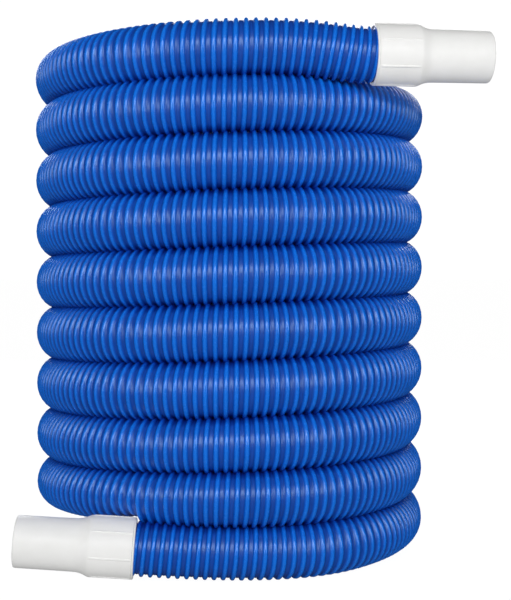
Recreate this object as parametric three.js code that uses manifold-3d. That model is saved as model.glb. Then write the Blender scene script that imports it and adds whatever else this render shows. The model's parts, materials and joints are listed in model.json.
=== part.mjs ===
// Pool vacuum hose: one length of spiral-wound hose stood up as an upright coil,
// with a swivel cuff on each end. Millimetres, +Z up. The coil stands on its lowest turn.
import * as THREE from 'three';
import { mergeVertices } from 'three/addons/utils/BufferGeometryUtils.js';
import Module from 'manifold-3d';

const wasm = await Module();
wasm.setup();

// ---------------------------------------------------------------- driving dimensions

const DEGREE = Math.PI / 180;
const TURN = 2 * Math.PI;
const GAP = 0.4;                      // air left between neighbouring solids

// hose
const HOSE_RADIUS = 22.2;             // outside, over the spiral rib
const COIL_RADIUS = 154.4;            // hose centre line to coil axis
const ROW_PITCH = 45.6;               // height of one turn
const LOW_HEIGHT = 19.4;              // centre line at the bottom front
const TURNS = 9;                      // turns from the top front to the bottom front
const TOP_END_ANGLE = -6 * DEGREE;    // where the top end leaves the coil
const LOW_END_ANGLE = (8 * 360 + 320) * DEGREE;
const COLUMN_STEP = 5 * DEGREE;       // azimuth step of the coil's faces
const TUBE_SIDES = 12;
const FRONT_ROWS = 8;                 // turns below the top one at the front and on the left
const RIGHT_ROWS = 7;                 // one fewer on the right, where the low end has left
const SLIGHT = 1e-3;                  // step for a direction along the coil

// how each turn departs from an even helix: it falls mostly behind, on the left
const SWAY = { sin1: 4.1, sin2: -1.4 };

// the bottom turn rides up where it crosses over the low cuff
const LIFT = { height: 5.1, angle: (8 * 360 + 25) * DEGREE, spread: 55 * DEGREE };

// free ends: where the cuff's mouth is, which way it points, how gently the hose bends there,
// and how far the cuff is turned about its axis
const TOP_END = {
  mouth: [118, -146, 424.8], yaw: 6, rise: -0.3,
  leave: 60, arrive: 25, steps: 5, cuffTurn: -21,
};
const LOW_END = {
  mouth: [-73.4, -152, 26.9], yaw: 183, rise: 4.2,
  leave: 60, arrive: 57, steps: 8, cuffTurn: 170,
};

// swivel cuff, measured along its axis from the mouth that the hose enters
const CUFF = {
  length: 96,
  ringLength: 1.6,
  collarEnd: 36,
  shoulderEnd: 46.5,
  collarRadius: 24.7,
  spigotRadius: 21.2,
  spigotTipRadius: 20.9,
  spigotBore: 19.0,
  edge: 1.0,
  tipEdge: 0.8,
};
const COLLAR_BORE = 23.6;             // turns round the ferrule
const LEDGE = { at: 28, radius: 20.5, coneEnd: 40 };
const GRIP = { count: 7, width: 1.5, height: 0.5, root: 0.6, start: 2.8, end: 34.5 };
const RING_BORE = 22.6;               // clear of the hose, smaller than the ferrule
const FERRULE = { start: 2.0, end: 26, inner: 22.4, outer: 23.3, noseFrom: 24, noseRadius: 19.4 };
const SEAL = { start: 26.3, end: 27.7, inner: 20.6, outer: 22.2 };
const HOSE_STOP = 23.6;               // how far the hose reaches into the cuff
const ROUND = 64;                     // segments of a turned part

// ---------------------------------------------------------------- materials

const plastic = (color, roughness) => new THREE.MeshStandardMaterial({ color, roughness, metalness: 0 });
const hoseBlue = plastic(0x1f4fb8, 0.45);
const cuffWhite = plastic(0xf1f1ee, 0.4);
const ferruleWhite = plastic(0xe2e3e0, 0.5);
const sealBlack = plastic(0x1c1c1e, 0.8);

// ---------------------------------------------------------------- solids and meshes

function toSolid(geometry) {
  const bare = geometry.clone();
  bare.deleteAttribute('normal');
  bare.deleteAttribute('uv');
  const merged = mergeVertices(bare, 1e-4);
  const vertProperties = new Float32Array(merged.attributes.position.array);
  const triVerts = new Uint32Array(merged.index.array);
  return new wasm.Manifold(new wasm.Mesh({ numProp: 3, vertProperties, triVerts }));
}

function toGeometry(solid) {
  const { vertProperties, triVerts } = solid.getMesh();
  const geometry = new THREE.BufferGeometry();
  geometry.setAttribute('position', new THREE.BufferAttribute(vertProperties, 3));
  geometry.setIndex(new THREE.BufferAttribute(triVerts, 1));
  geometry.computeVertexNormals();
  return geometry;
}

function part(name, geometry, material) {
  const mesh = new THREE.Mesh(geometry, material);
  mesh.name = name;
  return mesh;
}

// A turned part about +Y. The profile is [radius, height] pairs, closed on itself.
function turned(profile) {
  const closed = [...profile, profile[0]];
  return new THREE.LatheGeometry(closed.map(([radius, height]) => new THREE.Vector2(radius, height)), ROUND);
}

// ---------------------------------------------------------------- route of the hose

// Height of the centre line, theta being the angle wound down from the top front.
function coilHeight(theta) {
  const rows = TURNS - theta / TURN;
  const sway = SWAY.sin1 * Math.sin(theta) + SWAY.sin2 * Math.sin(2 * theta);
  const fromLift = (theta - LIFT.angle) / LIFT.spread;
  return LOW_HEIGHT + ROW_PITCH * rows + sway + LIFT.height * Math.exp(-fromLift * fromLift);
}

function coilPoint(theta) {
  return new THREE.Vector3(-COIL_RADIUS * Math.sin(theta), -COIL_RADIUS * Math.cos(theta), coilHeight(theta));
}

function coilDirection(theta) {
  return coilPoint(theta + SLIGHT).sub(coilPoint(theta - SLIGHT)).normalize();
}

function axisOf(end) {
  const yaw = end.yaw * DEGREE;
  const rise = end.rise * DEGREE;
  return new THREE.Vector3(Math.cos(yaw) * Math.cos(rise), Math.sin(yaw) * Math.cos(rise), Math.sin(rise));
}

// From the coil to the cuff's mouth in one bend, then straight to the stop inside the cuff.
function leadRoute(end, theta, outward) {
  const start = coilPoint(theta);
  const leave = coilDirection(theta).multiplyScalar(outward);
  const mouth = new THREE.Vector3(...end.mouth);
  const axis = axisOf(end);
  const bend = new THREE.CubicBezierCurve3(
    start,
    start.clone().addScaledVector(leave, end.leave),
    mouth.clone().addScaledVector(axis, -end.arrive),
    mouth,
  );
  const points = bend.getSpacedPoints(end.steps);
  points[0].addScaledVector(leave, GAP);
  points.push(mouth.clone().addScaledVector(axis, HOSE_STOP));
  return points;
}

// A round solid through the points, with one flat-sided ring at each.
function tube(points, radius) {
  const route = new THREE.CatmullRomCurve3(points, false, 'centripetal');
  const circle = Array.from({ length: TUBE_SIDES }, (_, i) => {
    const angle = TURN * i / TUBE_SIDES;
    return new THREE.Vector2(radius * Math.cos(angle), radius * Math.sin(angle));
  });
  return new THREE.ExtrudeGeometry(new THREE.Shape(circle), {
    steps: 2 * (points.length - 1),
    extrudePath: route,
  });
}

const topRoute = leadRoute(TOP_END, TOP_END_ANGLE, -1);
const lowRoute = leadRoute(LOW_END, LOW_END_ANGLE, 1);

// ---------------------------------------------------------------- coil

// One stretch of the coil's wall, its top and bottom following the first and the last row there.
function wallStretch(from, to, bottomTurn) {
  const columns = Math.round((to - from) / COLUMN_STEP);
  const positions = [];
  for (let i = 0; i <= columns; i++) {
    const theta = from + i * COLUMN_STEP;
    const top = coilHeight(theta) + HOSE_RADIUS;
    const bottom = coilHeight(theta + bottomTurn * TURN) - HOSE_RADIUS;
    const inner = COIL_RADIUS - HOSE_RADIUS;
    const outer = COIL_RADIUS + HOSE_RADIUS;
    for (const [radius, height] of [[inner, bottom], [outer, bottom], [outer, top], [inner, top]]) {
      positions.push(-radius * Math.sin(theta), -radius * Math.cos(theta), height);
    }
  }
  const index = [0, 2, 1, 0, 3, 2];
  for (let i = 0; i < columns; i++) {
    for (let corner = 0; corner < 4; corner++) {
      const a = 4 * i + corner;
      const b = 4 * i + (corner + 1) % 4;
      index.push(a, b + 4, a + 4, a, b, b + 4);
    }
  }
  const last = 4 * columns;
  index.push(last, last + 1, last + 2, last, last + 2, last + 3);
  const geometry = new THREE.BufferGeometry();
  geometry.setAttribute('position', new THREE.Float32BufferAttribute(positions, 3));
  geometry.setIndex(index);
  return toSolid(geometry);
}

// A plain cylinder round the cuff, a little larger and longer than it.
function cuffRoom(end) {
  const radius = CUFF.collarRadius + GRIP.height + GAP;
  const room = new THREE.CylinderGeometry(radius, radius, CUFF.length + 2 * GAP, ROUND);
  room.translate(0, CUFF.length / 2, 0);
  room.applyQuaternion(new THREE.Quaternion().setFromUnitVectors(new THREE.Vector3(0, 1, 0), axisOf(end)));
  room.translate(...end.mouth);
  return toSolid(room);
}

function hoseCoil() {
  const lastColumn = TOP_END_ANGLE + TURN;
  const lowColumn = LOW_END_ANGLE - FRONT_ROWS * TURN;
  const columns = Math.round((lowColumn - TOP_END_ANGLE) / COLUMN_STEP);
  const meeting = TOP_END_ANGLE + columns * COLUMN_STEP;
  let coil = wallStretch(TOP_END_ANGLE, meeting, FRONT_ROWS);
  coil = coil.add(wallStretch(meeting - COLUMN_STEP, lastColumn + COLUMN_STEP, RIGHT_ROWS));
  for (const route of [topRoute, lowRoute]) {
    coil = coil.subtract(toSolid(tube(route, HOSE_RADIUS + GAP)));
  }
  for (const end of [TOP_END, LOW_END]) {
    coil = coil.subtract(cuffRoom(end));
  }
  return toGeometry(coil);
}

// ---------------------------------------------------------------- swivel cuff, axis along +Y

function cuffBody(cuffTurn) {
  const { length, collarEnd, shoulderEnd, collarRadius, spigotRadius, spigotTipRadius, spigotBore } = CUFF;
  const { edge, tipEdge } = CUFF;
  const start = CUFF.ringLength + GAP;
  const shell = turned([
    [COLLAR_BORE, start],
    [collarRadius, start],
    [collarRadius, collarEnd - edge],
    [collarRadius - edge / 2, collarEnd],
    [spigotRadius + edge / 2, shoulderEnd - edge],
    [spigotRadius, shoulderEnd + edge],
    [spigotTipRadius, length - edge],
    [spigotTipRadius - tipEdge, length],
    [spigotBore, length],
    [spigotBore, LEDGE.coneEnd],
    [LEDGE.radius, LEDGE.at],
    [COLLAR_BORE, LEDGE.at],
  ]);
  let body = toSolid(shell);
  for (let i = 0; i < GRIP.count; i++) {
    body = body.add(toSolid(gripRib(cuffTurn + TURN * i / GRIP.count)));
  }
  return toGeometry(body);
}

function gripRib(angle) {
  const depth = GRIP.height + GRIP.root;
  const rib = new THREE.BoxGeometry(depth, GRIP.end - GRIP.start, GRIP.width);
  rib.translate(CUFF.collarRadius + GRIP.height - depth / 2, (GRIP.start + GRIP.end) / 2, 0);
  return rib.rotateY(angle);
}

function retainingRing() {
  return turned([
    [RING_BORE, 0],
    [CUFF.collarRadius - CUFF.edge / 2, 0],
    [CUFF.collarRadius, CUFF.edge / 2],
    [CUFF.collarRadius, CUFF.ringLength],
    [RING_BORE, CUFF.ringLength],
  ]);
}

function ferrule() {
  return turned([
    [FERRULE.inner, FERRULE.start],
    [FERRULE.outer, FERRULE.start],
    [FERRULE.outer, FERRULE.end],
    [FERRULE.noseRadius, FERRULE.end],
    [FERRULE.noseRadius, FERRULE.noseFrom],
    [FERRULE.inner, FERRULE.noseFrom],
  ]);
}

function sealRing() {
  return turned([
    [SEAL.inner, SEAL.start],
    [SEAL.outer, SEAL.start],
    [SEAL.outer, SEAL.end],
    [SEAL.inner, SEAL.end],
  ]);
}

function cuffAssembly(end, suffix) {
  const assembly = new THREE.Group();
  assembly.position.set(...end.mouth);
  assembly.quaternion.setFromUnitVectors(new THREE.Vector3(0, 1, 0), axisOf(end));
  assembly.add(part(`cuff_body_${suffix}`, cuffBody(end.cuffTurn * DEGREE), cuffWhite));
  assembly.add(part(`retaining_ring_${suffix}`, retainingRing(), cuffWhite));
  assembly.add(part(`threaded_ferrule_${suffix}`, ferrule(), ferruleWhite));
  assembly.add(part(`seal_ring_${suffix}`, sealRing(), sealBlack));
  return assembly;
}

// ---------------------------------------------------------------- the hose

const hose = new THREE.Group();
hose.add(part('hose_coil', hoseCoil(), hoseBlue));
hose.add(part('hose_end_top', tube(topRoute, HOSE_RADIUS), hoseBlue));
hose.add(part('hose_end_low', tube(lowRoute, HOSE_RADIUS), hoseBlue));
hose.add(cuffAssembly(TOP_END, 'top'));
hose.add(cuffAssembly(LOW_END, 'low'));

// the origin is under the middle of the whole thing, on the floor
const box = new THREE.Box3().setFromObject(hose, true);
const middle = box.getCenter(new THREE.Vector3());
hose.position.set(-middle.x, -middle.y, -box.min.z);

export default hose;
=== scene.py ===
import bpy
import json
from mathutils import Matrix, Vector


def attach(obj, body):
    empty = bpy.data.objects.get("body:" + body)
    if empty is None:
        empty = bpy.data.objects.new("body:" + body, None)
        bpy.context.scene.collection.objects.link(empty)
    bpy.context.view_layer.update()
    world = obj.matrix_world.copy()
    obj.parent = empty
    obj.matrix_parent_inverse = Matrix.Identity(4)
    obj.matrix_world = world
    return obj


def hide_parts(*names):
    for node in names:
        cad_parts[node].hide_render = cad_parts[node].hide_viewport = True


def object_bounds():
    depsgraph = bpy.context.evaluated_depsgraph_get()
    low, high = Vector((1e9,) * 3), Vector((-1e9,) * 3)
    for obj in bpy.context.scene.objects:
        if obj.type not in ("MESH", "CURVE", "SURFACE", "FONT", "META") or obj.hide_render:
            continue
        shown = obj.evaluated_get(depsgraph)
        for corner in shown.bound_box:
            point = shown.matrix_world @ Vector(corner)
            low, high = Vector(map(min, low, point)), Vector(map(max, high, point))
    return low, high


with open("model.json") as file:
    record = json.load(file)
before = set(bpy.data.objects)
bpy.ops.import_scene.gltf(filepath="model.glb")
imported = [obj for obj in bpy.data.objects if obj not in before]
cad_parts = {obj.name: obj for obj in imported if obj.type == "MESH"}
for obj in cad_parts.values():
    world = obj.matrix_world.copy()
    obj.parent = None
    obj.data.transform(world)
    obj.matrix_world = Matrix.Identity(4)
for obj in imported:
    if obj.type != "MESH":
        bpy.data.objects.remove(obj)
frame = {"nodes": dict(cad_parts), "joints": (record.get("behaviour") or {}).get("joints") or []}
CAD_BOX = [list(corner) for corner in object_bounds()]

import json
import math

import bpy
import numpy as np
from mathutils import Vector

MM = 0.001
TURN = 2 * math.pi

# ------------------------------------------------------------------ dimensions, in metres

HOSE_RADIUS = 22.2 * MM                    # over the rib, where nothing squeezes the hose
COIL_RADIUS = 154.4 * MM
ROW_PITCH = 45.6 * MM
LOW_HEIGHT = 19.4 * MM                     # centre line at the bottom front
TURNS = 9
TOP_END_ANGLE = math.radians(-6)
LOW_END_ANGLE = math.radians(8 * 360 + 320)
SWAY_SIN = (4.1 * MM, -1.4 * MM)
LIFT_HEIGHT = 5.1 * MM                     # the bottom turn rides over the low cuff
LIFT_ANGLE = math.radians(8 * 360 + 25)
LIFT_SPREAD = math.radians(55)
HOSE_STOP = 23.6 * MM                      # how far the hose reaches into a cuff
SWIVEL_DEPTH = 15 * MM                     # from a cuff's mouth to the record's pivot point
COIL_STEP = math.radians(0.25)             # between route points on the coil
BEND_POINTS, INSIDE_POINTS = 400, 50       # route points in a bend to a cuff, and inside a cuff
EVEN_POINTS = 9001                         # points of the evenly spaced route
TANGENT_REACH = 4                          # of those points, to each side, that a direction is smoothed over
TOP_LEAVE, TOP_ARRIVE = 60 * MM, 25 * MM
LOW_LEAVE, LOW_ARRIVE = 60 * MM, 57 * MM
TOP_MOUTH_FROM_COIL = Vector((118, -146, 424.8)) * MM

JOINTS = {joint["name"]: joint for joint in frame["joints"]}


def cuff_end(suffix):
    """Mouth and axis of a cuff, from the record's swivel."""
    joint = JOINTS[f"cuff_swivel_{suffix}"]
    axis = Vector(joint["axis"]).normalized()
    return Vector(joint["pos_m"]) - axis * SWIVEL_DEPTH, axis


TOP_MOUTH, TOP_AXIS = cuff_end("top")
LOW_MOUTH, LOW_AXIS = cuff_end("low")
COIL_BASE = TOP_MOUTH - TOP_MOUTH_FROM_COIL      # floor point on the coil's axis

# ------------------------------------------------------------------ camera

CAMERA_FROM_COIL = Vector((23.8, -1125, 252.4)) * MM
CAMERA_DOWN = math.radians(1.46)
LENS, SENSOR = 72.7, 36


def make_camera():
    data = bpy.data.cameras.new("camera")
    data.sensor_width = SENSOR
    data.lens = LENS
    camera = bpy.data.objects.new("camera", data)
    camera.location = COIL_BASE + CAMERA_FROM_COIL
    camera.rotation_euler = (math.radians(90) - CAMERA_DOWN, 0, 0)
    bpy.context.scene.collection.objects.link(camera)
    bpy.context.scene.camera = camera


make_camera()

# ------------------------------------------------------------------ the hose's route


def lift_share(theta):
    """1 where the bottom turn crosses over the low cuff, fading to 0 away from there."""
    return np.exp(-((theta - LIFT_ANGLE) / LIFT_SPREAD) ** 2)


def coil_points(theta):
    """Centre line of the coil; theta is wound down from the top front, first to the left."""
    rows = TURNS - theta / TURN
    sway = SWAY_SIN[0] * np.sin(theta) + SWAY_SIN[1] * np.sin(2 * theta)
    height = LOW_HEIGHT + ROW_PITCH * rows + sway + LIFT_HEIGHT * lift_share(theta)
    local = np.stack([-COIL_RADIUS * np.sin(theta), -COIL_RADIUS * np.cos(theta), height], axis=1)
    return local + np.array(COIL_BASE)


def coil_direction(theta):
    little = 1e-3
    pair = coil_points(np.array([theta - little, theta + little]))
    return (pair[1] - pair[0]) / np.linalg.norm(pair[1] - pair[0])


def bend(start, leave, arrive, mouth):
    """Cubic curve from the coil to a cuff's mouth."""
    t = np.linspace(0, 1, BEND_POINTS)[:, None]
    return (
        (1 - t) ** 3 * start + 3 * (1 - t) ** 2 * t * leave
        + 3 * (1 - t) * t ** 2 * arrive + t ** 3 * mouth
    )


def hose_route():
    """Dense points of the centre line, from the stop in the top cuff to the stop in the low cuff."""
    steps = int((LOW_END_ANGLE - TOP_END_ANGLE) / COIL_STEP)
    coil = coil_points(np.linspace(TOP_END_ANGLE, LOW_END_ANGLE, steps))
    top_mouth, top_axis = np.array(TOP_MOUTH), np.array(TOP_AXIS)
    low_mouth, low_axis = np.array(LOW_MOUTH), np.array(LOW_AXIS)
    top = bend(
        coil[0],
        coil[0] - coil_direction(TOP_END_ANGLE) * TOP_LEAVE,
        top_mouth - top_axis * TOP_ARRIVE,
        top_mouth,
    )
    low = bend(
        coil[-1],
        coil[-1] + coil_direction(LOW_END_ANGLE) * LOW_LEAVE,
        low_mouth - low_axis * LOW_ARRIVE,
        low_mouth,
    )
    inside = np.linspace(1, 1 / INSIDE_POINTS, INSIDE_POINTS)[:, None] * HOSE_STOP
    top_inside = top_mouth + top_axis * inside
    low_inside = low_mouth + low_axis * inside[::-1]
    return np.concatenate([top_inside, top[::-1][:-1], coil, low[1:], low_inside])


ROUTE = hose_route()
STEP_LENGTHS = np.linalg.norm(np.diff(ROUTE, axis=0), axis=1)
ALONG = np.concatenate([[0.0], np.cumsum(STEP_LENGTHS)])
HOSE_LENGTH = float(ALONG[-1])


def smoothed(values, reach):
    """Each value mixed with the ones up to reach places away on both sides."""
    kernel = np.hanning(2 * reach + 3)[1:-1]
    return np.convolve(np.pad(values, reach, mode="edge"), kernel / kernel.sum(), mode="valid")


def even_route():
    """Evenly spaced distances, centre points and unit directions, smoothed where the route's pieces join."""
    even = np.linspace(0, HOSE_LENGTH, EVEN_POINTS)
    points = np.stack([np.interp(even, ALONG, ROUTE[:, i]) for i in range(3)], axis=1)
    tangents = np.gradient(points, axis=0)
    tangents = np.stack([smoothed(tangents[:, i], TANGENT_REACH) for i in range(3)], axis=1)
    return even, points, tangents / np.linalg.norm(tangents, axis=1)[:, None]


EVEN, CENTRES, TANGENTS = even_route()

# ------------------------------------------------------------------ how the rows press on each other

NEXT_ROW = (30 * MM, 60 * MM)              # between these heights above or below lies the next row
FREE_HEIGHT = 22.3 * MM                    # half height of the hose where nothing is above or below
NEST = 1.83                                # row spacing over half height, when crowns sit in valleys
FIRST_NEST = 1.74                          # the same over the first stretch, where crowns meet crowns
FIRST_STRETCH = (240 * MM, 300 * MM)       # from the top end: how far that goes, and where it has faded
HEIGHT_LIMITS = (21.0 * MM, 26.3 * MM)
OVERLAP_FULL, OVERLAP_NONE = 14 * MM, 32 * MM     # sideways offset at which two rows fully / no longer touch
HELD_ROUND = (24 * MM, 33 * MM)            # from its end: held round by the cuff, and free of that
COLLAR_LENGTH = 38 * MM
CUFF_ROOM = 25.6 * MM                      # radius kept free round a cuff's axis for its grip ribs
OFF_THE_COLLAR = (2 * MM, 6.5 * MM)        # before the mouth: the collar's press fades, and is gone
LEAST_ROOM = 10 * MM                       # the hose is never pressed flatter than this
LEAST_RISE = 20 * MM                       # a stretch this far above the cuff lies on it
PAINTED_SHADE_START = 0.70                        # of the half height; from here up the colour darkens toward the crease, as painted shade
HEIGHT_STEP = 4                            # every how many points of EVEN the neighbours are looked for
HEIGHT_REACH = 10                          # of those points, to each side, that a height is smoothed over


def half_height(upward):
    """Half height above (1) or below (-1) the centre line at the points of EVEN, and how much it touches."""
    points = CENTRES[::HEIGHT_STEP]
    rise = (points[None, :, 2] - points[:, None, 2]) * upward
    aside = np.linalg.norm(points[None, :, :2] - points[:, None, :2], axis=2)
    near = (rise > NEXT_ROW[0]) & (rise < NEXT_ROW[1]) & (aside < OVERLAP_NONE)
    spacing = np.where(near, np.hypot(rise, aside), HOSE_LENGTH)
    closest = spacing.argmin(axis=1)
    rows = np.arange(len(points))
    found = near.any(axis=1)
    share = np.clip((OVERLAP_NONE - aside[rows, closest]) / (OVERLAP_NONE - OVERLAP_FULL), 0, 1) * found
    nest = np.interp(EVEN[::HEIGHT_STEP], FIRST_STRETCH, (FIRST_NEST, NEST))
    touching = np.clip(spacing[rows, closest] / nest, *HEIGHT_LIMITS)
    height = evened(FREE_HEIGHT + (touching - FREE_HEIGHT) * share)
    freedom = np.interp(np.minimum(EVEN, HOSE_LENGTH - EVEN), HELD_ROUND, (0, 1))
    height = HOSE_RADIUS + (height - HOSE_RADIUS) * freedom
    if upward < 0:
        height = pressed_on_low_cuff(height)
    return height, evened(share)


def pressed_on_low_cuff(height):
    """The half height below the centre line, less where the hose lies on the low cuff's collar."""
    mouth, axis = np.array(LOW_MOUTH), np.array(LOW_AXIS)
    reach = (CENTRES - mouth) @ axis
    offset = CENTRES - mouth - np.clip(reach, 0, COLLAR_LENGTH)[:, None] * axis
    distance = np.linalg.norm(offset, axis=1)
    steep = (offset[:, 2] / distance) ** 2
    room = np.maximum(distance - CUFF_ROOM, LEAST_ROOM)
    # an ellipse as wide as the hose that just reaches the collar; the 1 only keeps the root real
    spare = np.maximum(room ** -2.0 - (1 - steep) * HOSE_RADIUS ** -2.0, 1.0)
    pressed = np.sqrt(steep / spare)
    pressed = pressed + (height - pressed) * np.interp(-reach, OFF_THE_COLLAR, (0, 1))
    lies_on = (offset[:, 2] > LEAST_RISE) & (room < HOSE_RADIUS)
    return np.where(lies_on, np.minimum(height, pressed), height)


def evened(values):
    """Smoothed along the hose, and brought from every HEIGHT_STEP-th point to all points of EVEN."""
    return np.interp(EVEN, EVEN[::HEIGHT_STEP], smoothed(values, HEIGHT_REACH))


ABOVE, TOUCH_ABOVE = half_height(1)
BELOW, TOUCH_BELOW = half_height(-1)


def at_distance(along, vectors):
    """The vectors given at the points of EVEN, read at other distances along the hose."""
    return np.stack([np.interp(along, EVEN, vectors[:, i]) for i in range(3)], axis=1)


def hose_surface(along, angle, radius):
    """Points on a section of the hose; angle 0 is the outside of the coil and grows upwards."""
    centre = at_distance(along, CENTRES)
    tangent = at_distance(along, TANGENTS)
    tangent = tangent / np.linalg.norm(tangent, axis=1)[:, None]
    up = np.array([0, 0, 1.0]) - tangent[:, 2:3] * tangent
    up = up / np.linalg.norm(up, axis=1)[:, None]
    outward = np.cross(up, tangent)
    half = np.where(np.sin(angle) > 0, np.interp(along, EVEN, ABOVE), np.interp(along, EVEN, BELOW))
    spoke = np.cos(angle)[:, None] * outward + (np.sin(angle) * half / HOSE_RADIUS)[:, None] * up
    return centre + radius * spoke


def crease_share(along, angle):
    """How deep in the crease between two rows a point lies, from 0 to 1; it sets how far the colour is
    darkened there as painted shade.
    """
    rise = np.sin(angle)
    touch = np.where(rise > 0, np.interp(along, EVEN, TOUCH_ABOVE), np.interp(along, EVEN, TOUCH_BELOW))
    depth = np.clip((np.abs(rise) - PAINTED_SHADE_START) / (1 - PAINTED_SHADE_START), 0, 1)
    return touch * depth ** 2 * (3 - 2 * depth)


# ------------------------------------------------------------------ mesh helpers


def new_mesh(name, points, faces, smooth=True):
    mesh = bpy.data.meshes.new(name)
    mesh.vertices.add(len(points))
    mesh.vertices.foreach_set("co", np.asarray(points, np.float32).ravel())
    sizes = np.array([len(face) for face in faces], np.int32) if isinstance(faces, list) else None
    if sizes is None:
        sizes = np.full(len(faces), faces.shape[1], np.int32)
        corners = faces.astype(np.int32).ravel()
    else:
        corners = np.array([corner for face in faces for corner in face], np.int32)
    mesh.loops.add(len(corners))
    mesh.loops.foreach_set("vertex_index", corners)
    mesh.polygons.add(len(sizes))
    starts = np.concatenate([[0], np.cumsum(sizes)[:-1]]).astype(np.int32)
    mesh.polygons.foreach_set("loop_start", starts)
    mesh.polygons.foreach_set("use_smooth", np.full(len(sizes), smooth))
    mesh.update(calc_edges=True)
    mesh.validate()
    piece = bpy.data.objects.new(name, mesh)
    bpy.context.scene.collection.objects.link(piece)
    return piece


# ------------------------------------------------------------------ materials


def new_material(name):
    material = bpy.data.materials.new(name)
    material.use_nodes = True
    nodes, links = material.node_tree.nodes, material.node_tree.links
    return material, nodes, links, nodes["Principled BSDF"]


def noise(nodes, links, scale, detail, vector):
    node = nodes.new("ShaderNodeTexNoise")
    node.inputs["Scale"].default_value = scale
    node.inputs["Detail"].default_value = detail
    links.new(vector, node.inputs["Vector"])
    return node.outputs["Fac"]


def ramp(nodes, links, value, stops):
    node = nodes.new("ShaderNodeValToRGB")
    elements = node.color_ramp.elements
    elements[0].position, elements[0].color = stops[0][0], (*stops[0][1], 1)
    elements[1].position, elements[1].color = stops[-1][0], (*stops[-1][1], 1)
    for position, color in stops[1:-1]:
        elements.new(position).color = (*color, 1)
    links.new(value, node.inputs["Fac"])
    return node.outputs["Color"]


def grey(value):
    return (value, value, value)


def attribute(nodes, name):
    node = nodes.new("ShaderNodeAttribute")
    node.attribute_name = name
    return node.outputs["Fac"]


def multiply(nodes, links, first, second):
    mix = nodes.new("ShaderNodeMix")
    mix.data_type = "RGBA"
    mix.blend_type = "MULTIPLY"
    mix.inputs[0].default_value = 1.0
    links.new(first, mix.inputs[6])
    links.new(second, mix.inputs[7])
    return mix.outputs[2]


def hose_material():
    """Blue plastic, glossier on the rib's crown; its colour is lighter on the crown as painted highlight,
    darker in the valley and nearly black in the creases between rows as painted shade.
    """
    material, nodes, links, shader = new_material("hose_blue")
    where = nodes.new("ShaderNodeTexCoord").outputs["Object"]
    crown = attribute(nodes, "crown")
    # painted highlight and shade: lighter blue toward the rib's crown, darker in the valley between ribs
    color = ramp(nodes, links, crown, [
        (0.0, (0.0006, 0.051, 0.36)),
        (0.45, (0.001, 0.078, 0.50)),
        (1.0, (0.003, 0.163, 0.76)),
    ])
    cloud = ramp(nodes, links, noise(nodes, links, 38, 4, where), [(0.3, grey(0.9)), (0.7, grey(1.0))])
    # painted shade: the colour is darkened to near-black navy in the creases where rows touch
    painted_shade_tint = ramp(nodes, links, attribute(nodes, "crease"), [(0.0, grey(1.0)), (1.0, (0.5, 0.18, 0.5))])
    color = multiply(nodes, links, multiply(nodes, links, color, cloud), painted_shade_tint)
    links.new(color, shader.inputs["Base Color"])
    smooth = ramp(nodes, links, crown, [(0.0, grey(0.36)), (1.0, grey(0.26))])
    grain = ramp(nodes, links, noise(nodes, links, 300, 3, where), [(0.3, grey(0.88)), (0.7, grey(1.12))])
    links.new(multiply(nodes, links, smooth, grain), shader.inputs["Roughness"])
    bump = nodes.new("ShaderNodeBump")
    bump.inputs["Strength"].default_value = 0.12
    bump.inputs["Distance"].default_value = 0.4 * MM
    links.new(noise(nodes, links, 900, 3, where), bump.inputs["Height"])
    links.new(bump.outputs["Normal"], shader.inputs["Normal"])
    shader.inputs["IOR"].default_value = 1.46
    shader.inputs["Specular IOR Level"].default_value = 1.0
    shader.inputs["Specular Tint"].default_value = (0.6, 0.82, 1.0, 1)
    return material


def cuff_material():
    material, nodes, links, shader = new_material("cuff_white")
    where = nodes.new("ShaderNodeTexCoord").outputs["Object"]
    cloud = noise(nodes, links, 60, 4, where)
    links.new(ramp(nodes, links, cloud, [(0.3, (0.745, 0.745, 0.732)), (0.7, (0.775, 0.775, 0.766))]),
              shader.inputs["Base Color"])
    links.new(ramp(nodes, links, noise(nodes, links, 420, 3, where), [(0.3, grey(0.34)), (0.7, grey(0.44))]),
              shader.inputs["Roughness"])
    bump = nodes.new("ShaderNodeBump")
    bump.inputs["Strength"].default_value = 0.08
    bump.inputs["Distance"].default_value = 0.3 * MM
    links.new(noise(nodes, links, 1200, 2, where), bump.inputs["Height"])
    links.new(bump.outputs["Normal"], shader.inputs["Normal"])
    shader.inputs["Specular IOR Level"].default_value = 0.3
    shader.inputs["Emission Color"].default_value = (1, 1, 1, 1)
    shader.inputs["Emission Strength"].default_value = 0.075       # painted light: a faint glow that brightens the cuff's shaded sides
    return material


def plain_plastic(name, low, high, rough):
    material, nodes, links, shader = new_material(name)
    where = nodes.new("ShaderNodeTexCoord").outputs["Object"]
    links.new(ramp(nodes, links, noise(nodes, links, 150, 3, where), [(0.3, low), (0.7, high)]),
              shader.inputs["Base Color"])
    shader.inputs["Roughness"].default_value = rough
    return material


HOSE = hose_material()
CUFF = cuff_material()
FERRULE = plain_plastic("ferrule_white", (0.66, 0.67, 0.65), (0.72, 0.73, 0.71), 0.5)
SEAL = plain_plastic("seal_black", (0.012, 0.012, 0.013), (0.03, 0.03, 0.032), 0.7)

# ------------------------------------------------------------------ hose: smooth liner and ribbed spiral

RIBS_PER_TURN = 134                        # a whole number, so that each row nests in the one below
RIB_PITCH = math.hypot(TURN * COIL_RADIUS, ROW_PITCH) / RIBS_PER_TURN
# (distance along the hose in mm, share of RIB_PITCH): squeezed in the top cuff, stretched beside it
RIB_PITCHES = ((0, 0.91), (24, 0.925), (45, 0.965), (70, 1.06), (120, 1.075), (170, 1.0), (9e3, 1.0))
RIB_SEGMENTS = 30
VALLEY_RADIUS = 19.9 * MM
LINER_OUTER, LINER_INNER = 19.3 * MM, 19.0 * MM
SPIRAL_INNER = 19.4 * MM
SPIRAL_PIECES = 5
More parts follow.
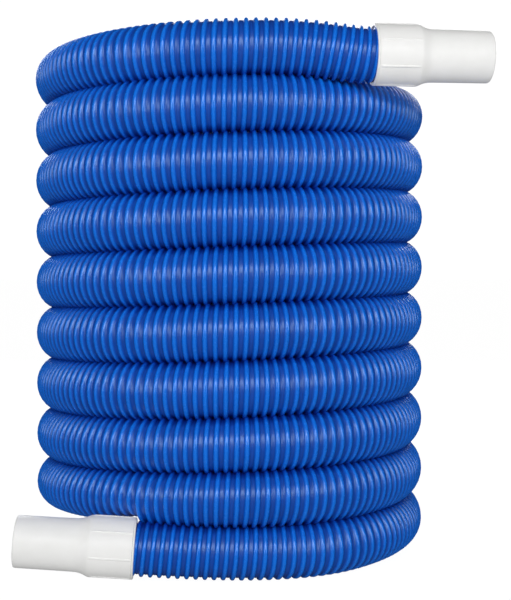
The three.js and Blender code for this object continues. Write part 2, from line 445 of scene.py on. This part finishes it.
# half of the strip's section, from the rib's crown to the middle of the valley:
# (offset in mm, height in mm, crown shade, which lightens the colour toward the crown as painted highlight
# and darkens it in the valley as painted shade)
HALF_SECTION = (
    (0.60, 2.26, 1.0),
    (1.22, 1.88, 0.9),
    (1.72, 1.02, 0.55),
    (2.10, 0.28, 0.15),
    (2.50, 0.06, 0.0),
    (3.63, 0.34, 0.2),
)


def count_turns():
    """Turns of the rib up to each point of EVEN."""
    places, shares = np.array(RIB_PITCHES).T
    pitch = RIB_PITCH * np.interp(EVEN, places * MM, shares)
    steps = np.diff(EVEN) * 2 / (pitch[:-1] + pitch[1:])
    return np.concatenate([[0.0], np.cumsum(steps)])


TURN_COUNT = count_turns()


def strip_section():
    """Offsets, heights and shades across one pitch of the spiral, from valley to valley over the rib."""
    left = [(-offset, height, shade) for offset, height, shade in reversed(HALF_SECTION)]
    section = np.array(left + list(HALF_SECTION))
    return section[:, 0] * MM, section[:, 1] * MM, section[:, 2]


def ribbed_spiral(name, first_turn, last_turn):
    """A closed stretch of the spiral-wound strip. Each turn shares its edge with the next one."""
    offsets, heights, shades = strip_section()
    across = len(offsets) - 1
    steps = (last_turn - first_turn) * RIB_SEGMENTS
    # the left edge runs one turn further than the strip, because a turn's right edge is the next one's left
    edge_rows = np.arange(steps + RIB_SEGMENTS + 1)
    strip_rows = np.arange(steps + 1)
    shift = first_turn * RIB_SEGMENTS

    points, shade, crease = [], [], []

    def add_line(rows, offset, radius, crown):
        turns = (rows + shift) / RIB_SEGMENTS + offset / RIB_PITCH + 0.5
        along = np.interp(turns, TURN_COUNT, EVEN)
        angle = -TURN * (rows + shift) / RIB_SEGMENTS
        points.append(hose_surface(along, angle, radius))
        shade.append(np.full(len(rows), crown))
        crease.append(crease_share(along, angle))

    add_line(edge_rows, offsets[0], VALLEY_RADIUS + heights[0], shades[0])
    add_line(edge_rows, offsets[0], SPIRAL_INNER, 0.0)
    for j in range(1, across):
        add_line(strip_rows, offsets[j], VALLEY_RADIUS + heights[j], shades[j])
    starts = np.concatenate([[0], np.cumsum([len(block) for block in points])])
    outer_edge = starts[0] + edge_rows
    inner_edge = starts[1] + edge_rows
    columns = [outer_edge[:steps + 1]]
    columns += [starts[j + 1] + strip_rows for j in range(1, across)]
    columns.append(outer_edge[RIB_SEGMENTS:])
    inner_left, inner_right = inner_edge[:steps + 1], inner_edge[RIB_SEGMENTS:]
    columns = np.array(columns)
    quads = []
    for j in range(across):
        a, b = columns[j], columns[j + 1]
        quads.append(np.stack([a[:-1], a[1:], b[1:], b[:-1]], axis=1))
    quads.append(np.stack([inner_right[:-1], inner_right[1:], inner_left[1:], inner_left[:-1]], axis=1))
    quads.append(wall(outer_edge, inner_edge, 0, RIB_SEGMENTS))
    quads.append(wall(inner_edge, outer_edge, steps, steps + RIB_SEGMENTS))
    faces = np.concatenate(quads).tolist()
    faces.append([*columns[:, 0].tolist(), int(inner_right[0]), int(inner_left[0])])
    faces.append([*columns[::-1, -1].tolist(), int(inner_left[-1]), int(inner_right[-1])])
    piece = new_mesh(name, np.concatenate(points), faces)
    # per-point masks: the crown tone (painted highlight on the crown, painted shade in the valley, and the
    # gloss) and the painted shade in the creases between rows
    for layer_name, values in (("crown", shade), ("crease", crease)):
        layer = piece.data.attributes.new(layer_name, "FLOAT", "POINT")
        layer.data.foreach_set("value", np.concatenate(values).astype(np.float32))
    piece.data.materials.append(HOSE)
    return piece


def wall(upper, lower, start, end):
    """Quads between two edges of the strip, over rows start to end."""
    rows = np.arange(start, end)
    return np.stack([lower[rows], lower[rows + 1], upper[rows + 1], upper[rows]], axis=1)


def hose_liner():
    """The smooth inner wall, a closed tube from one cuff's stop to the other's, and its centre line."""
    sides, spacing = 24, 8 * MM
    rings = int(HOSE_LENGTH / spacing)
    along = np.linspace(0, HOSE_LENGTH, rings)
    angles = TURN * np.arange(sides) / sides
    grid_along = np.repeat(along, sides)
    grid_angle = np.tile(angles, rings)
    outer = hose_surface(grid_along, grid_angle, LINER_OUTER)
    inner = hose_surface(grid_along, grid_angle, LINER_INNER)
    index = np.arange(rings * sides).reshape(rings, sides)
    nxt = np.roll(index, -1, axis=1)
    skin = np.stack([index[:-1], index[1:], nxt[1:], nxt[:-1]], axis=-1).reshape(-1, 4)
    under = skin[:, ::-1] + rings * sides
    first = np.stack([index[0], nxt[0], nxt[0] + rings * sides, index[0] + rings * sides], axis=1)
    last = np.stack([index[-1] + rings * sides, nxt[-1] + rings * sides, nxt[-1], index[-1]], axis=1)
    faces = np.concatenate([skin, under, first, last])
    piece = new_mesh("hose_liner", np.concatenate([outer, inner]), faces)
    piece.data.materials.append(HOSE)
    return piece, at_distance(along, CENTRES)


def make_hose():
    liner, path = hose_liner()
    turns = int(TURN_COUNT[-1]) - 1
    cuts = np.linspace(0, turns, SPIRAL_PIECES + 1).astype(int)
    spirals = []
    for number, (first, last) in enumerate(zip(cuts[:-1], cuts[1:]), start=1):
        spirals.append(ribbed_spiral(f"hose_spiral_{number}", int(first), int(last)))
    return liner, path, spirals


# ------------------------------------------------------------------ cuffs

GRIP_RIBS = 7
GRIP_HEIGHT, GRIP_HALF_WIDTH = 0.6 * MM, 1.05 * MM
GRIP_START, GRIP_END = 2.2 * MM, 35.0 * MM
GRIP_RISE, GRIP_FALL = 1.2 * MM, 2.5 * MM        # over which a grip rib's ends grow and fade
FIRST_RIB = {"top": math.radians(21), "low": math.radians(-10)}
COLLAR_RADIUS = 24.7 * MM
RING_SIDES = 128
SHARP_ANGLE = math.radians(40)            # a cuff's edges sharper than this stay sharp

# (distance from the mouth, radius) in mm, along the outside and back through the bore
CUFF_OUTSIDE = (
    (1.75, 23.8), (1.75, 24.55), (1.85, 24.68), (2.2, 24.7), (3.4, 24.7), (6, 24.7), (11, 24.7),
    (17, 24.7), (23, 24.7), (29, 24.7), (33, 24.7), (34.5, 24.7), (35.5, 24.66), (36.4, 24.5),
    (37.4, 24.15), (38.6, 23.6), (40.5, 22.75), (42.5, 22.05), (44.5, 21.6), (46.5, 21.32),
    (48.5, 21.22), (60, 21.1), (76, 21.0), (91, 20.92), (94.2, 20.88), (95.2, 20.7), (95.8, 20.3),
    (96.0, 19.8),
)
CUFF_INSIDE = (
    (95.9, 19.4), (95.5, 19.1), (94.8, 19.0), (80, 19.0), (60, 19.0), (42, 19.0), (39, 19.15), (28.2, 20.4),
    (28.0, 20.6), (28.0, 23.4), (27.8, 23.6), (2.1, 23.6),
)
RING_SECTION = (
    (0.35, 22.6), (0.05, 22.85), (0.0, 23.1), (0.0, 23.8), (0.1, 24.1), (0.35, 24.4), (0.7, 24.6),
    (1.0, 24.68), (1.45, 24.7), (1.6, 24.62), (1.6, 22.8), (1.45, 22.6),
)


def cuff_axes(axis):
    """Side and up directions across a cuff's axis; angle 0 faces the side the free ends lie on."""
    up = Vector((0, 0, 1)) - axis * axis.z
    up.normalize()
    side = axis.cross(up)
    if side.y > 0:
        side = -side
    return side, up


def bump_profile(distance):
    """Rounded height, from 1 at the middle of a grip rib to 0 at its foot."""
    ratio = np.clip(np.abs(distance) / GRIP_HALF_WIDTH, 0, 1)
    return (1 - ratio ** 3) ** 1.2


def grip_angles(first):
    """Angles round the cuff, close together across each grip rib."""
    reach = GRIP_HALF_WIDTH / COLLAR_RADIUS
    across = np.array([-1.25, -1.0, -0.85, -0.6, -0.3, 0, 0.3, 0.6, 0.85, 1.0, 1.25]) * reach
    spacing = TURN / GRIP_RIBS
    between = np.linspace(across[-1], spacing + across[0], 15)[1:-1]
    block = np.concatenate([across, between])
    return np.concatenate([block + first + spacing * i for i in range(GRIP_RIBS)])


def grip_window(along):
    """1 along the grip ribs, falling to 0 at both ends."""
    rise = np.clip((along - GRIP_START) / GRIP_RISE, 0, 1)
    fall = np.clip((GRIP_END - along) / GRIP_FALL, 0, 1)
    return np.sqrt(rise) * np.sqrt(fall)


def turned_piece(name, mouth, axis, section, angles, relief=None):
    """A closed turned part about a cuff's axis; relief(along, angles) adds height to the outside."""
    side, up = (np.array(v) for v in cuff_axes(axis))
    centre, direction = np.array(mouth), np.array(axis)
    handed = 1 if np.dot(np.cross(side, up), direction) > 0 else -1
    rings = []
    for number, (along, radius) in enumerate(section):
        heights = np.full(len(angles), radius * MM)
        if relief is not None and number < len(CUFF_OUTSIDE):
            heights = heights + relief(along * MM, angles)
        spoke = np.cos(angles)[:, None] * side + np.sin(angles)[:, None] * up
        rings.append(centre + direction * along * MM + heights[:, None] * spoke)
    count, loops = len(angles), len(section)
    index = np.arange(count * loops).reshape(loops, count)
    nxt_ring, nxt_spoke = np.roll(index, -1, axis=0), np.roll(index, -1, axis=1)
    both = np.roll(nxt_ring, -1, axis=1)
    quads = np.stack([index, nxt_spoke, both, nxt_ring], axis=-1).reshape(-1, 4)
    if handed < 0:
        quads = quads[:, ::-1]
    piece = new_mesh(name, np.concatenate(rings), quads)
    piece.data.set_sharp_from_angle(angle=SHARP_ANGLE)
    return piece


def make_cuff(suffix, mouth, axis):
    first = FIRST_RIB[suffix]
    centres = first + TURN * np.arange(GRIP_RIBS) / GRIP_RIBS

    def ribs(along, angles):
        nearest = np.abs((angles[:, None] - centres + math.pi) % TURN - math.pi).min(axis=1)
        return GRIP_HEIGHT * bump_profile(nearest * COLLAR_RADIUS) * grip_window(along)

    body = turned_piece(f"cuff_{suffix}", mouth, axis, CUFF_OUTSIDE + CUFF_INSIDE, grip_angles(first), ribs)
    body.data.materials.append(CUFF)
    round_angles = TURN * np.arange(RING_SIDES) / RING_SIDES
    ring = turned_piece(f"cuff_ring_{suffix}", mouth, axis, RING_SECTION, round_angles)
    ring.data.materials.append(CUFF)
    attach(body, f"cuff_{suffix}")
    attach(ring, f"cuff_{suffix}")
    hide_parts(f"cuff_body_{suffix}")
    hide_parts(f"retaining_ring_{suffix}")
    return body, ring


def paint_node(name, material):
    piece = frame["nodes"][name]
    piece.data.materials.clear()
    piece.data.materials.append(material)


# ------------------------------------------------------------------ stage and light

FLOOR_HALF = 30.0                          # the floor runs this far from the middle on each side
FLOOR_DROP = 0.2 * MM                      # below the hose, so that the two never share a surface


def make_floor():
    material, _, _, shader = new_material("floor_white")
    shader.inputs["Base Color"].default_value = (0.1, 0.1, 0.1, 1)
    shader.inputs["Roughness"].default_value = 1.0
    shader.inputs["Specular IOR Level"].default_value = 0.0
    shader.inputs["Emission Color"].default_value = (1, 1, 1, 1)
    shader.inputs["Emission Strength"].default_value = 0.97
    corners = np.array([(-1, -1, 0), (1, -1, 0), (1, 1, 0), (-1, 1, 0)], float)
    points = corners * FLOOR_HALF
    points[:, 2] = CAD_BOX[0][2] - FLOOR_DROP
    floor = new_mesh("floor", points, np.array([[0, 1, 2, 3]]), smooth=False)
    floor.data.materials.append(material)
    floor.visible_diffuse = False
    floor.visible_glossy = False


def area_light(name, place, size, power):
    """A rectangular lamp, width by height in metres, turned towards the middle of the coil."""
    data = bpy.data.lights.new(name, "AREA")
    data.shape = "RECTANGLE"
    data.size, data.size_y = size
    data.energy = power
    lamp = bpy.data.objects.new(name, data)
    lamp.location = place
    lamp.rotation_euler = (COIL_MIDDLE - Vector(place)).to_track_quat("-Z", "Y").to_euler()
    bpy.context.scene.collection.objects.link(lamp)


COIL_MIDDLE = Vector((0, 0, 0.22))
SKY = ((0.0, grey(0.70)), (0.5, grey(0.34)), (1.0, grey(0.26)))       # from below to above
SIDEWAYS = (1.25, 0.4)                     # share of that in front or behind, and straight to the side
REFLECTED = 0.02                           # how bright the studio looks in the plastic, lamps apart
BACKDROP = 1.05


def make_world():
    """White to the camera, even and dimmer as a light, nearly black in reflections."""
    world = bpy.data.worlds.new("studio")
    bpy.context.scene.world = world
    world.use_nodes = True
    nodes, links = world.node_tree.nodes, world.node_tree.links
    rays = nodes.new("ShaderNodeLightPath")
    split = nodes.new("ShaderNodeSeparateXYZ")
    links.new(nodes.new("ShaderNodeTexCoord").outputs["Generated"], split.inputs[0])
    rise = nodes.new("ShaderNodeMapRange")
    rise.inputs["From Min"].default_value = -1.0
    links.new(split.outputs["Z"], rise.inputs["Value"])
    shader = nodes["Background"]
    links.new(ramp(nodes, links, rise.outputs["Result"], SKY), shader.inputs["Color"])
    aside = nodes.new("ShaderNodeMath")
    aside.operation = "ABSOLUTE"
    links.new(split.outputs["X"], aside.inputs[0])
    dimming = nodes.new("ShaderNodeMapRange")
    dimming.inputs["To Min"].default_value = SIDEWAYS[0]
    dimming.inputs["To Max"].default_value = SIDEWAYS[1]
    links.new(aside.outputs[0], dimming.inputs["Value"])
    links.new(dimming.outputs["Result"], shader.inputs["Strength"])
    for ray, strength in (("Is Glossy Ray", REFLECTED), ("Is Camera Ray", BACKDROP)):
        background = nodes.new("ShaderNodeBackground")
        background.inputs["Strength"].default_value = strength
        background.inputs["Color"].default_value = (1, 1, 1, 1)
        mix = nodes.new("ShaderNodeMixShader")
        links.new(rays.outputs[ray], mix.inputs[0])
        links.new(shader.outputs[0], mix.inputs[1])
        links.new(background.outputs[0], mix.inputs[2])
        shader = mix
    links.new(shader.outputs[0], nodes["World Output"].inputs["Surface"])


def make_lights():
    area_light("front", (0, -1.8, 0.89), (1.9, 0.5), 19)
    area_light("front_left", (-1.25, -1.3, 0.42), (0.7, 0.5), 5.5)
    area_light("front_right", (1.25, -1.3, 0.42), (0.7, 0.5), 5.5)
    area_light("back", (0, 1.8, 1.0), (2.4, 0.6), 26)
    view = bpy.context.scene.view_settings
    view.view_transform = "Standard"
    view.look = "None"
    view.exposure = 0.0


# ------------------------------------------------------------------ assembly

liner, hose_path, spirals = make_hose()
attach(liner, "hose")
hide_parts("hose_coil", "hose_end_top", "hose_end_low")
for spiral in spirals:
    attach(spiral, "hose")

make_cuff("top", TOP_MOUTH, TOP_AXIS)
low_cuff, low_ring = make_cuff("low", LOW_MOUTH, LOW_AXIS)
for end in ("top", "low"):
    paint_node(f"threaded_ferrule_{end}", FERRULE)
    paint_node(f"seal_ring_{end}", SEAL)

make_floor()
make_world()
make_lights()
